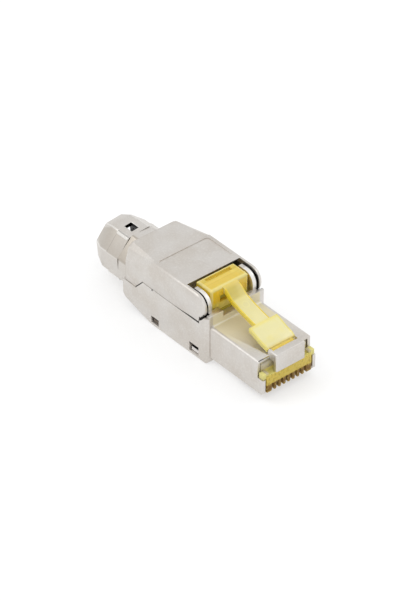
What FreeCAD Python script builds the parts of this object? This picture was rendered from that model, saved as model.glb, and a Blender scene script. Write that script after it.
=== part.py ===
import FreeCAD, Part
import os
import Sketcher

# A field-fitted modular network plug, in millimetres.
# In the drawing frame x is 0 at the step between housing and nose and grows towards the nose's tip,
# y is 0 on the plane of symmetry, and z is 0 at the underside of the nose.
# Each piece is then placed so that the plug stands on its flat underside with its middle at x = 0.

sizes = {
    "noseWidth": 11.68, "noseHeight": 6.6, "noseTopLength": 12.1, "noseWall": 0.6, "noseRound": 0.5,
    "cheekHeight": 3.3, "cheekOverhang": 1.4, "cheekLead": 0.6, "floorMargin": 0.6,
    "strapHalf": 3.2, "strapWall": 0.5, "strapSetback": 0.4, "strapOverhang": 1.8, "strapPlate": 0.7,
    "strapRoof": 0.4, "strapRoofSetback": 0.4, "strapRound": 0.3,
    "bodyWidth": 13.2, "bodyDrop": 1.0, "bodyLength": 22.25, "bodyWall": 1.2, "bodyRound": 0.4,
    "chinRound": 0.8, "floorThickness": 0.6, "frontWall": 1.0, "rearWall": 1.0,
    "flatInset": 7.35, "heelInset": 5.15, "heelRise": 0.55, "tailInset": 0.95, "tailRise": 1.72,
    "cornerRise": 2.75, "cornerCut": 0.6, "partingZ": 6.75, "stepInset": 5.25,
    "stepRun": 1.9, "seamGap": 0.06,
    "shelfInset": 5.85, "wellInset": 7.05, "shelfGap": 0.1,
    "ledgeDepth": 1.4, "ledgeRise": 2.2, "ledgeToe": 0.35, "notchHalf": 2.95, "notchRise": 1.1,
    "cheekTopDrop": 0.4, "cheekGap": 0.3,
    "hingeX": 3.25, "hingeZ": 9.85, "hingePinRadius": 0.9, "pinClearance": 0.05,
    "earThickness": 0.95, "earGap": 0.3, "earDrop": 0.3, "earBehind": 0.95,
    "earFoot": 3.0, "earSlope": 2.2, "earShoulder": 1.0,
    "windowInset": 0.5, "windowLength": 2.0, "windowHeight": 1.35, "windowSill": 0.1,
    "nearWindowGap": 1.15, "nearWindowLength": 2.45, "nearWindowHeight": 1.8,
    "coverStep": 0.05, "coverWall": 0.75, "coverTop": 12.3, "coverPlate": 0.9,
    "coverSlopeInset": 7.75, "coverFall": 0.45, "coverRound": 0.6, "coverRearBevel": 0.45, "coverTaper": 0.1,
    "lobeFoot": 2.3, "lobeGap": 0.22, "lobeLean": 0.25, "footRound": 0.5,
    "mouthX": 6.05, "mouthRadius": 3.7,
    "coverRearWall": 0.85, "archGap": 0.15,
    "labelInset": 0.4, "labelLength": 6.4, "labelMargin": 1.0, "labelDepth": 0.12, "labelRound": 0.6,
    "thumbGap": 0.45, "thumbMouthGap": 0.35, "ledgeGap": 0.35, "thumbProud": 0.05, "thumbDepth": 4.75,
    "thumbRoof": 1.1, "thumbWall": 0.75, "thumbRound": 0.4,
    "portHalf": 2.2, "portHeight": 1.35, "portDrop": 1.75,
    "gripInset": 0.5, "gripLength": 0.85, "gripMargin": 1.3, "gripDepth": 0.5,
    "armHalf": 1.62, "armThickness": 0.8, "crestRun": 0.85, "crestDrop": 0.4, "kneeRun": 1.6, "kneeDrop": 1.0,
    "shinRun": 2.35, "shinDrop": 1.63, "armMidX": 2.75, "armMidRise": 3.35, "armEndX": 5.3,
    "armEndRise": 2.65,
    "paddleHalf": 3.1, "paddleLength": 4.6, "paddleGap": 0.4, "paddleRearRise": 2.55, "paddleBendX": 9.4,
    "paddleBendRise": 1.55, "paddleLip": 0.55,
    "tongueGap": 0.2, "tongueThickness": 0.35, "tongueRoofGap": 0.1, "tongueTipGap": 0.15,
    "insertClearance": 0.29, "insertRear": 6.0, "insertSeat": 0.05, "insertFaceTop": 4.0,
    "insertSetback": 0.1, "lugGap": 0.1, "lugSetback": 0.2, "lugLength": 1.1, "lugHeight": 1.0,
    "lugReach": 0.7, "strapDrop": 0.15, "toothLow": 0.42, "toothRound": 0.2, "slotTopFront": 1.95,
    "contactPitch": 1.02, "bladeThickness": 0.36, "slotClearance": 0.05, "bladeLift": 0.15,
    "bladeStrip": 0.4, "bladeRear": 7.6, "bladeSetback": 0.5, "bladeTail": 1.0,
    "boardClearance": 0.54, "boardMargin": 0.7, "boardGap": 0.4, "boardLow": 2.2, "boardThickness": 0.8,
    "trayClearance": 0.1, "trayGap": 0.4, "trayInset": 0.6, "trayWall": 1.0, "boardBehind": 0.2,
    "snapSetback": 0.35, "snapMargin": 0.3, "snapHeight": 0.7,
    "blockClearance": 0.4, "blockGap": 0.4, "blockLength": 7.2, "blockHeight": 4.0,
    "rowInset": 1.9, "rowSpacing": 3.4,
    "cutterThickness": 0.35, "cutterWidth": 1.6, "cutterSlot": 0.4, "cutterSlotDepth": 1.9,
    "capGap": 0.25, "capRoof": 1.55, "capClearance": 0.12, "wireRadius": 0.5, "wireDrop": 1.0,
    "neckGap": 0.8, "flangeLength": 2.1, "spigotLength": 4.45, "spigotOpening": 1.25,
    "cableRadius": 3.1, "cableZ": 4.7, "slipClearance": 0.08,
    "sleeveGap": 0.05, "sleeveBarrel": 3.0, "sleeveCollar": 1.9, "sleeveTaper": 2.2,
    "sleeveFlats": 10.6, "sleeveWall": 0.92, "sleeveStepDepth": 0.15, "sleeveEndFlats": 8.4,
    "sleeveEndWall": 1.3, "sleeveBoreGap": 0.1, "sleeveWindowGap": 1.1, "sleeveWindowLength": 2.05,
    "sleeveWindowWidth": 1.45, "sleeveTurn": 5.5,
    "clipHalf": 4.2, "clipGap": 0.1, "clipLength": 2.7, "clipHeight": 4.5, "clipThickness": 0.4,
}

doc = FreeCAD.newDocument("NetworkPlug")
sheet = doc.addObject("Spreadsheet::Sheet", "Sizes")
for row, (name, amount) in enumerate(sizes.items(), start=1):
    sheet.set("A%d" % row, name)
    sheet.set("B%d" % row, "%g" % amount)
    sheet.setAlias("B%d" % row, name)
doc.recompute()


# A length that knows both its number and the formula that gives it
class Size:
    def __init__(self, value, formula):
        self.value = value
        self.formula = formula

    def join(self, other, sign, value):
        formula = other.formula if isinstance(other, Size) else "%g" % other
        return Size(value, "(" + self.formula + " " + sign + " " + formula + ")")

    def __add__(self, other):
        return self.join(other, "+", self.value + number(other))

    def __sub__(self, other):
        return self.join(other, "-", self.value - number(other))

    def __mul__(self, other):
        return self.join(other, "*", self.value * number(other))

    def __truediv__(self, other):
        return self.join(other, "/", self.value / number(other))

    def __neg__(self):
        return Size(-self.value, "(0 - " + self.formula + ")")


def number(item):
    return item.value if isinstance(item, Size) else float(item)


def size(name):
    return Size(sizes[name], "Sizes." + name)


def bind(item, path, length):
    if isinstance(length, Size):
        item.setExpression(path, length.formula)


def newBody(label):
    body = doc.addObject("PartDesign::Body", label)
    body.Label = label
    bind(body, "Placement.Base.x", standX)
    bind(body, "Placement.Base.z", size("bodyDrop"))
    return body


def openSketch(body, name, role, height):
    sketch = body.newObject("Sketcher::SketchObject", name)
    plane = [item for item in body.Origin.OriginFeatures if item.Role == role][0]
    sketch.AttachmentSupport = [(plane, "")]
    sketch.MapMode = "FlatFace"
    sketch.AttachmentOffset = FreeCAD.Placement(FreeCAD.Vector(0, 0, number(height)), FreeCAD.Rotation())
    bind(sketch, "AttachmentOffset.Base.z", height)
    return sketch


def pin(sketch, kind, corner, place, length):
    sketch.addConstraint(Sketcher.Constraint(kind, -1, 1, corner, place, number(length)))
    bind(sketch, "Constraints[%d]" % (sketch.ConstraintCount - 1), length)


# A closed outline through corners, each held at its two distances from the origin
def outline(body, name, role, height, corners):
    sketch = openSketch(body, name, role, height)
    spots = [FreeCAD.Vector(number(a), number(b), 0) for a, b in corners]
    last = len(spots) - 1
    for index, spot in enumerate(spots):
        following = spots[0 if index == last else index + 1]
        sketch.addGeometry(Part.LineSegment(spot, following), False)
    for index in range(len(spots)):
        following = 0 if index == last else index + 1
        sketch.addConstraint(Sketcher.Constraint("Coincident", index, 2, following, 1))
    for index, (across, up) in enumerate(corners):
        pin(sketch, "DistanceX", index, 1, across)
        pin(sketch, "DistanceY", index, 1, up)
    return sketch


def circle(body, name, role, height, centre, radius):
    sketch = openSketch(body, name, role, height)
    middle = FreeCAD.Vector(number(centre[0]), number(centre[1]), 0)
    sketch.addGeometry(Part.Circle(middle, FreeCAD.Vector(0, 0, 1), number(radius)), False)
    pin(sketch, "DistanceX", 0, 3, centre[0])
    pin(sketch, "DistanceY", 0, 3, centre[1])
    sketch.addConstraint(Sketcher.Constraint("Radius", 0, number(radius)))
    bind(sketch, "Constraints[%d]" % (sketch.ConstraintCount - 1), radius)
    return sketch


def finish(body, name, kind, sketch, length):
    feature = body.newObject("PartDesign::" + kind, name)
    feature.Profile = sketch
    feature.Type = "Length"
    feature.Length = number(length)
    bind(feature, "Length", length)
    feature.Reversed = kind == "Pocket"
    sketch.Visibility = False
    body.Tip = feature
    return feature


# The side view's plane looks along +y, so its heights are counted the other way
def startOf(role, low, high):
    return -high if role == "XZ_Plane" else low


def prism(body, name, kind, role, corners, low, high):
    low = low if isinstance(low, Size) else Size(low, "%g" % low)
    high = high if isinstance(high, Size) else Size(high, "%g" % high)
    sketch = outline(body, name + "Outline", role, startOf(role, low, high), corners)
    return finish(body, name, kind, sketch, high - low)


def drum(body, name, kind, role, centre, radius, low, high):
    low = low if isinstance(low, Size) else Size(low, "%g" % low)
    high = high if isinstance(high, Size) else Size(high, "%g" % high)
    sketch = circle(body, name + "Circle", role, startOf(role, low, high), centre, radius)
    return finish(body, name, kind, sketch, high - low)


def loft(body, name, kind, stations):
    sketches = []
    for index, (along, corners) in enumerate(stations):
        sketches.append(outline(body, name + "Section%d" % index, "YZ_Plane", along, corners))
    feature = body.newObject("PartDesign::" + kind, name)
    feature.Profile = sketches[0]
    feature.Sections = sketches[1:]
    feature.Ruled = True
    body.Tip = feature
    return feature


def box(a, b, c, d):
    return [(a, b), (c, b), (c, d), (a, d)]


def mirrored(half):
    return [(-across, up) for across, up in half] + [(across, up) for across, up in reversed(half)]


# Rounds the edges whose middle passes a test, in the drawing frame
def soften(body, name, radius, wanted, kind="Fillet"):
    doc.recompute()
    base = body.Tip
    picked = []
    for index, edge in enumerate(base.Shape.Edges, start=1):
        middle = edge.CenterOfMass
        if not edge.Degenerated and wanted(edge, middle):
            picked.append("Edge%d" % index)
    if not picked:
        raise RuntimeError("no edge for " + name)
    feature = body.newObject("PartDesign::" + kind, name)
    feature.Base = (base, picked)
    path = "Radius" if kind == "Fillet" else "Size"
    setattr(feature, path, number(radius))
    bind(feature, path, radius)
    body.Tip = feature
    return feature


def near(first, second):
    return abs(first - number(second)) < 0.02


def runsAlong(edge, axis):
    if edge.Curve.TypeId != "Part::GeomLine":
        return False
    return abs(getattr(edge.Curve.Direction, axis)) > 0.99


# Derived lengths of the nose and of what sits in it
noseHalf = size("noseWidth") / 2
noseInside = noseHalf - size("noseWall")
noseReach = size("noseTopLength") + size("cheekOverhang")
noseLip = size("noseHeight") - size("noseWall")
strapRear = size("noseTopLength") - size("strapSetback")
strapFront = size("noseTopLength") + size("strapOverhang")
apron = strapFront - size("strapPlate")
strapInside = size("strapHalf") - size("strapWall")
tongueLow = size("noseHeight") + size("tongueGap")
tongueTop = tongueLow + size("tongueThickness")
slotTop = tongueTop + size("tongueRoofGap")
strapTop = slotTop + size("strapRoof")
strapLow = size("insertFaceTop") + size("strapDrop")
paddleFront = strapRear - size("paddleGap")
paddleRear = paddleFront - size("paddleLength")
insertHalf = noseInside - size("insertClearance")
insertLow = size("noseWall") + size("insertSeat")
boardTop = size("boardLow") + size("boardThickness")
boardFront = size("insertRear") - size("boardGap")
bladeTop = boardTop + size("bladeStrip")
bladeLow = insertLow + size("bladeLift")
bladeFront = noseReach - size("bladeSetback")
floorCut = size("bladeRear") - size("floorMargin")

# Derived lengths of the housing, the cover and what they hold
bodyHalf = size("bodyWidth") / 2
bodyInside = bodyHalf - size("bodyWall")
rearFace = -size("bodyLength")
wellRear = rearFace + size("wellInset")
stepFront = rearFace + size("stepInset")
stepRear = stepFront - size("stepRun")
floorZ = size("floorThickness") - size("bodyDrop")
shelfZ = size("cableZ") - size("cableRadius") + size("shelfGap")
ledgeTop = size("noseHeight") + size("ledgeRise")
cheekTop = ledgeTop - size("cheekTopDrop")
coverHalf = bodyHalf - size("coverStep")
coverInside = coverHalf - size("coverWall")
coverFlat = rearFace + size("coverSlopeInset")
coverRearTop = size("coverTop") - size("coverFall")
plateUnder = size("coverTop") - size("coverPlate")
earOuter = coverInside - size("earGap")
earInner = earOuter - size("earThickness")
hinge = (-size("hingeX"), size("hingeZ"))
lobeRadius = size("coverTop") - size("hingeZ")
earRadius = lobeRadius - size("earDrop")
earRear = -size("mouthX") - size("earBehind")
thumbHalf = earInner - size("thumbGap")
thumbRear = size("thumbMouthGap") - size("mouthX")
thumbFront = -size("ledgeDepth") - size("ledgeGap")
thumbTop = size("coverTop") + size("thumbProud")
thumbFoot = thumbTop - size("thumbDepth")
windowLow = floorZ + size("windowSill")
rearWindow = (wellRear + size("windowInset"), wellRear + size("windowInset") + size("windowLength"))
nearWindow = (-size("frontWall") - size("nearWindowGap") - size("nearWindowLength"),
              -size("frontWall") - size("nearWindowGap"))
trayHalf = bodyInside - size("trayClearance")
trayRear = wellRear + size("trayInset")
trayFront = -size("frontWall") - size("trayGap")
blockHalf = bodyInside - size("blockClearance")
blockFront = earRear - size("blockGap")
blockRear = blockFront - size("blockLength")
blockTop = boardTop + size("blockHeight")
rowRear = blockRear + size("rowInset")
rowFront = rowRear + size("rowSpacing")
wirePitch = blockHalf / 2
capTop = plateUnder - size("capGap")
cutterTop = capTop - size("capRoof")

# Derived lengths of the neck and the sleeve
cableAxis = (0, size("cableZ"))
neckFront = rearFace - size("neckGap")
neckFlange = neckFront - size("flangeLength")
spigotEnd = neckFlange - size("spigotLength")
spigotRadius = size("sleeveFlats") / 2 - size("sleeveWall") - size("slipClearance")
sleeveFront = neckFlange - size("sleeveGap")
sleeveStep = sleeveFront - size("sleeveBarrel")
sleeveRing = sleeveStep - size("sleeveCollar")
sleeveEnd = sleeveRing - size("sleeveTaper")
sleeveBore = size("cableRadius") + size("sleeveBoreGap")
standX = -(sleeveEnd + strapFront) / 2


# A regular octagon about the cable's axis, a flat on top
def octagon(flats):
    half = flats / 2
    short = half * 0.41421
    middle = size("cableZ")
    return mirrored([(short, middle - half), (half, middle - short), (half, middle + short),
                     (short, middle + half)])


# Lower housing with the nose shell
def makeHousing():
    body = newBody("lower_housing")
    under = -size("bodyDrop")
    profile = [
        (0, under), (rearFace + size("flatInset"), under),
        (rearFace + size("heelInset"), under + size("heelRise")),
        (rearFace + size("tailInset"), under + size("tailRise")),
        (rearFace, under + size("cornerRise")), (rearFace, size("cableZ")), (stepRear, size("cableZ")),
        (stepFront, size("partingZ")), (0, size("partingZ")),
    ]
    prism(body, "HousingBlock", "Pad", "XZ_Plane", profile, -bodyHalf, bodyHalf)
    soften(body, "ChinRound", size("chinRound"), lambda edge, middle: runsAlong(edge, "y")
           and near(middle.x, 0) and near(middle.z, under))
    soften(body, "HousingEdges", size("bodyRound"), lambda edge, middle: near(abs(middle.y), bodyHalf)
           and middle.z < number(windowLow) + 0.1)
    inner = rearFace + size("rearWall")
    rim = size("partingZ") + 1
    well = [
        (-size("frontWall"), floorZ), (wellRear, floorZ), (rearFace + size("shelfInset"), shelfZ),
        (inner, shelfZ), (inner, rim), (-size("frontWall"), rim),
    ]
    prism(body, "HousingWell", "Pocket", "XZ_Plane", well, -bodyInside, bodyInside)
    makeNose(body)
    makeEars(body)
    for name, window, tall in (("RearWindows", rearWindow, "windowHeight"),
                               ("NearWindows", nearWindow, "nearWindowHeight")):
        hole = box(window[0], windowLow, window[1], windowLow + size(tall))
        prism(body, name, "Pocket", "XZ_Plane", hole, -bodyHalf - 0.1, bodyHalf + 0.1)
    makeNeck(body)
    return body


# The nose: a thin shell, open in front and below its contacts, with a strap over the lever's tongue
def makeNose(body):
    top = size("noseTopLength")
    prism(body, "NoseBlock", "Pad", "YZ_Plane", box(-noseHalf, 0, noseHalf, size("noseHeight")),
          -size("frontWall"), top)
    prism(body, "NoseCheeks", "Pad", "YZ_Plane", box(-noseHalf, 0, noseHalf, size("cheekHeight")),
          top, noseReach)
    soften(body, "NoseEdges", size("noseRound"), lambda edge, middle: runsAlong(edge, "x")
           and near(abs(middle.y), noseHalf) and middle.x > 1 and (near(middle.z, 0)
           or near(middle.z, size("noseHeight"))))
    strap = [
        (strapRear, noseLip), (strapRear, strapTop), (strapFront, strapTop), (strapFront, strapLow),
        (apron, strapLow), (apron, noseLip),
    ]
    prism(body, "StrapHoop", "Pad", "XZ_Plane", strap, -size("strapHalf"), size("strapHalf"))
    soften(body, "StrapRounds", size("strapRound"), lambda edge, middle: middle.z > number(strapLow) + 0.1
           and middle.x > number(strapRear) + 0.1 and abs(middle.y) < number(size("strapHalf")) + 0.01
           and (near(middle.z, strapTop) or (near(middle.x, strapFront)
                                             and near(abs(middle.y), size("strapHalf")))))
    prism(body, "StrapSlot", "Pocket", "XZ_Plane", box(strapRear - 0.2, size("noseHeight"), apron, slotTop),
          -strapInside, strapInside)
    roofStart = top + size("strapRoofSetback")
    prism(body, "StrapRoofCut", "Pocket", "XZ_Plane",
          box(strapRear - 0.2, size("noseHeight"), roofStart, strapTop + 0.2), -strapInside, strapInside)
    prism(body, "NoseHollow", "Pocket", "YZ_Plane", box(-noseInside, size("noseWall"), noseInside, noseLip),
          -size("frontWall") - 0.1, apron)
    prism(body, "NoseMouth", "Pocket", "YZ_Plane", box(-noseInside, -0.2, noseInside, size("noseWall")),
          floorCut, noseReach + 0.2)
    lead = size("cheekLead")
    corner = [(noseReach - lead - 0.1, -0.1), (noseReach + 0.1, -0.1), (noseReach + 0.1, lead + 0.1)]
    prism(body, "CheekLeads", "Pocket", "XZ_Plane", corner, -noseHalf - 0.1, noseHalf + 0.1)
    prism(body, "CheekGap", "Pocket", "YZ_Plane",
          box(-noseInside, -0.2, noseInside, size("cheekHeight") + 0.2), top, noseReach + 0.2)
    prism(body, "StrapTunnel", "Pocket", "XZ_Plane",
          box(top, noseLip - 0.1, apron, size("noseHeight") + 0.1), -strapInside, strapInside)


# Cheeks in front of the cover's lobes, ears that carry its pins, and the notched ledge between them
def makeEars(body):
    cheek = box(-size("lobeFoot") + size("cheekGap"), size("partingZ") - 1, 0, cheekTop)
    prism(body, "LeftCheek", "Pad", "XZ_Plane", cheek, earOuter - 0.3, bodyHalf)
    prism(body, "RightCheek", "Pad", "XZ_Plane", cheek, -bodyHalf, -earOuter + 0.3)
    brow = box(-noseHalf, size("partingZ") - 1, noseHalf, ledgeTop)
    prism(body, "Brow", "Pad", "YZ_Plane", brow, -size("ledgeDepth"), 0)
    drum(body, "LobeRoom", "Pocket", "XZ_Plane", hinge, lobeRadius + size("lobeGap"),
         -bodyHalf - 0.1, bodyHalf + 0.1)
    cut = size("cornerCut")
    for name, side in (("LeftCorner", 1), ("RightCorner", -1)):
        corner = [(0.1, (bodyHalf - cut - 0.1) * side), (0.1, (bodyHalf + 0.1) * side),
                  (-cut - 0.1, (bodyHalf + 0.1) * side)]
        prism(body, name, "Pocket", "XY_Plane", corner, -size("bodyDrop") - 0.1, cheekTop + 0.1)
    top = size("hingeZ") + earRadius
    front = earRadius - size("hingeX")
    ear = [
        (earRear, size("earFoot")), (earRear, size("hingeZ") - size("earShoulder")),
        (earRear + size("earSlope"), top), (-size("hingeX"), top), hinge, (front, size("hingeZ")),
        (front, size("earFoot")),
    ]
    for name, low, high in (("LeftEar", earInner, earOuter), ("RightEar", -earOuter, -earInner)):
        prism(body, name, "Pad", "XZ_Plane", ear, low, high)
        drum(body, name + "Round", "Pad", "XZ_Plane", hinge, earRadius, low, high)
    drum(body, "HingeHoles", "Pocket", "XZ_Plane", hinge, size("hingePinRadius") + size("pinClearance"),
         -earOuter - 0.3, earOuter + 0.3)
    ledge = box(-earOuter, size("partingZ") - 1, earOuter, ledgeTop)
    prism(body, "Ledge", "Pad", "YZ_Plane", ledge, -size("ledgeDepth"), 0)
    floor = size("noseHeight") + size("notchRise")
    notch = box(-size("notchHalf"), floor, size("notchHalf"), ledgeTop + 1)
    prism(body, "LedgeNotch", "Pocket", "YZ_Plane", notch, -size("ledgeDepth") - 0.1, 0.1)
    toe = size("ledgeToe")
    nose = size("noseHeight")
    slope = [(-0.1, nose - 0.2), (toe, nose - 0.2), (toe, nose), (0, nose + toe), (-0.1, nose + toe)]
    prism(body, "LedgeFoot", "Pad", "XZ_Plane", slope, size("noseRound") - noseHalf,
          noseHalf - size("noseRound"))


# The neck behind the housing: an octagonal flange, and a round spigot that the sleeve slips over
def makeNeck(body):
    half = size("sleeveFlats") / 2
    short = half * 0.41421
    middle = size("cableZ")
    bridge = [(-short, middle - half), (short, middle - half), (half, middle - short), (half, middle),
              (-half, middle), (-half, middle - short)]
    prism(body, "NeckBridge", "Pad", "YZ_Plane", bridge, neckFront - 0.2, rearFace + size("rearWall"))
    prism(body, "NeckFlange", "Pad", "YZ_Plane", octagon(size("sleeveFlats")), neckFlange, neckFront)
    drum(body, "Spigot", "Pad", "YZ_Plane", cableAxis, spigotRadius, spigotEnd, neckFlange)
    drum(body, "CableBore", "Pocket", "YZ_Plane", cableAxis, size("cableRadius"),
         spigotEnd - 0.2, rearFace + size("rearWall") + 0.1)
    opening = box(spigotEnd - 0.2, middle + size("cableRadius") / 2, neckFlange - size("spigotOpening"),
                  middle + half)
    prism(body, "SpigotTop", "Pocket", "XZ_Plane", opening, -half, half)


# Hinged cover with its two pivot lobes
def makeCover():
    body = newBody("top_cover")
    seam = size("partingZ") + size("seamGap")
    rearSeam = size("cableZ") + size("seamGap")
    top = size("coverTop")
    bend = size("coverRound")
    foot = -size("lobeFoot")
    profile = [
        (coverFlat, seam), (coverFlat, top), (-size("hingeX"), top),
        (foot + size("lobeLean"), size("hingeZ") - lobeRadius * 0.75), (foot, seam),
    ]
    prism(body, "CoverFront", "Pad", "XZ_Plane", profile, -coverHalf, coverHalf)
    drum(body, "Lobes", "Pad", "XZ_Plane", hinge, lobeRadius, -coverHalf, coverHalf)
    soften(body, "FootRounds", size("footRound"), lambda edge, middle: runsAlong(edge, "y")
           and near(middle.x, foot) and near(middle.z, seam))
    plain = mirrored([(coverHalf, rearSeam), (coverHalf, top - bend * 1.4),
                      (coverHalf - bend * 0.4, top - bend * 0.4), (coverHalf - bend * 1.4, top)])
    rearHalf = coverHalf - size("coverTaper")
    slope = mirrored([(rearHalf, rearSeam), (rearHalf - 0.15, coverRearTop - 3.2),
                      (rearHalf - 0.8, coverRearTop - 0.85), (rearHalf - 1.8, coverRearTop)])
    loft(body, "CoverRear", "AdditiveLoft", [(coverFlat, plain), (rearFace, slope)])
    soften(body, "CoverEdges", bend, lambda edge, middle: runsAlong(edge, "x")
           and near(middle.z, top) and near(abs(middle.y), coverHalf))
    soften(body, "CoverRearBevels", size("coverRearBevel"), lambda edge, middle: near(middle.x, rearFace)
           and middle.z > number(rearSeam) + 0.1, "Chamfer")
    cut = [
        (coverFlat + 0.6, rearSeam - 1), (coverFlat + 0.6, seam), (stepFront, seam),
        (stepRear, rearSeam), (stepRear, rearSeam - 1),
    ]
    prism(body, "SeamStep", "Pocket", "XZ_Plane", cut, -coverHalf - 1, coverHalf + 1)
    prism(body, "FrontRoom", "Pocket", "YZ_Plane", box(-coverInside, rearSeam - 1, coverInside, plateUnder),
          coverFlat, 0)
    roomPlain = mirrored([(coverInside, rearSeam - 2), (coverInside, plateUnder - 0.2),
                          (coverInside - 0.2, plateUnder)])
    rearInside = rearHalf - size("coverWall")
    roomSlope = mirrored([(rearInside - 0.15, rearSeam - 2), (rearInside - 0.25, coverRearTop - 3.2),
                          (rearInside - 1.5, coverRearTop - size("coverPlate"))])
    rearInner = rearFace + size("coverRearWall")
    loft(body, "RearRoom", "SubtractiveLoft", [(coverFlat, roomPlain), (rearInner, roomSlope)])
    prism(body, "MouthCut", "Pocket", "XZ_Plane", box(-size("mouthX"), plateUnder - 0.5, 0, top + 1),
          -coverInside, coverInside)
    drum(body, "MouthArc", "Pocket", "XZ_Plane", hinge, size("mouthRadius"), -coverInside, coverInside)
    drum(body, "CableArch", "Pocket", "YZ_Plane", cableAxis, size("cableRadius") + size("archGap"),
         rearFace - 0.2, rearInner + 0.3)
    labelRear = coverFlat + size("labelInset")
    labelHalf = coverHalf - size("labelMargin")
    label = box(labelRear, -labelHalf, labelRear + size("labelLength"), labelHalf)
    prism(body, "LabelPanel", "Pocket", "XY_Plane", label, top - size("labelDepth"), top + 0.5)
    soften(body, "LabelRounds", size("labelRound"), lambda edge, middle: runsAlong(edge, "z")
           and near(middle.x, labelRear) and near(abs(middle.y), labelHalf))
    reach = coverInside + 0.1
    drum(body, "LeftPivot", "Pad", "XZ_Plane", hinge, size("hingePinRadius"), earInner + 0.1, reach)
    drum(body, "RightPivot", "Pad", "XZ_Plane", hinge, size("hingePinRadius"), -reach, -earInner - 0.1)
    return body


# Thumb block, spring arm and paddle, moulded in one
def makeLatch():
    body = newBody("latch_lever")
    block = [(thumbRear, thumbFoot), (thumbRear, thumbTop), (thumbFront, thumbTop),
             (thumbFront, thumbFoot + 0.3)]
    prism(body, "ThumbBlock", "Pad", "XZ_Plane", block, -thumbHalf, thumbHalf)
    soften(body, "ThumbRounds", size("thumbRound"), lambda edge, middle:
           middle.z > number(thumbTop) - 0.1 or (near(abs(middle.y), thumbHalf)
                                                 and near(middle.x, thumbFront)))
    wall = size("thumbWall")
    hollow = box(thumbRear + wall, thumbFoot - 0.5, thumbFront - wall, thumbTop - size("thumbRoof"))
    prism(body, "ThumbHollow", "Pocket", "XZ_Plane", hollow, wall - thumbHalf, thumbHalf - wall)
    portTop = thumbTop - size("portDrop")
    port = box(-size("portHalf"), portTop - size("portHeight"), size("portHalf"), portTop)
    prism(body, "ThumbPort", "Pocket", "YZ_Plane", port, thumbFront - wall - 0.1, thumbFront + 0.1)
    gripRear = thumbRear + size("gripInset")
    gripHalf = thumbHalf - size("gripMargin")
    grip = box(gripRear, -gripHalf, gripRear + size("gripLength"), gripHalf)
    prism(body, "ThumbGrip", "Pocket", "XY_Plane", grip, thumbTop - size("gripDepth"), thumbTop + 0.5)
    makeArm(body)
    paddleEnd = paddleFront - size("paddleLip")
    lip = tongueLow + size("paddleLip")
    bend = (size("paddleBendX"), size("noseHeight") + size("paddleBendRise"))
    rearZ = size("noseHeight") + size("paddleRearRise")
    thick = size("armThickness")
    paddle = [
        (paddleRear, rearZ), (paddleRear + 0.7, rearZ - 0.2), bend, (paddleEnd, lip + 0.43),
        (paddleFront, lip), (paddleFront, tongueLow + 0.02), (bend[0] - 0.1, bend[1] - thick),
        (paddleRear, rearZ - thick),
    ]
    prism(body, "Paddle", "Pad", "XZ_Plane", paddle, -size("paddleHalf"), size("paddleHalf"))
    tongue = box(paddleFront - 0.3, tongueLow, apron - size("tongueTipGap"), tongueTop)
    tongueHalf = strapInside - size("tongueGap")
    prism(body, "Tongue", "Pad", "XZ_Plane", tongue, -tongueHalf, tongueHalf)
    return body


# The arm leaves the thumb block's front in a bend and falls to the paddle
def makeArm(body):
    thick = size("armThickness")
    root = thumbFront
    nose = size("noseHeight")
    crest = (root + size("crestRun"), thumbTop - size("crestDrop"))
    knee = (root + size("kneeRun"), thumbTop - size("kneeDrop"))
    shin = (root + size("shinRun"), thumbTop - size("shinDrop"))
    middle = (size("armMidX"), nose + size("armMidRise"))
    end = (size("armEndX"), nose + size("armEndRise"))
    tip = (paddleRear + 0.5, nose + size("paddleRearRise") - 0.3)
    top = [(root - 0.25, thumbTop - 0.1), crest, knee, shin, middle, end, tip]
    under = [
        (tip[0], tip[1] - thick), (end[0] - 0.1, end[1] - thick), (middle[0] - 0.15, middle[1] - thick),
        (shin[0] - 0.4, shin[1] - thick), (knee[0] - 0.45, knee[1] - thick),
        (crest[0] - 0.2, crest[1] - thick - 0.25), (root - 0.3, thumbTop - thick - 0.5),
    ]
    prism(body, "SpringArm", "Pad", "XZ_Plane", top + under, -size("armHalf"), size("armHalf"))


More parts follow.
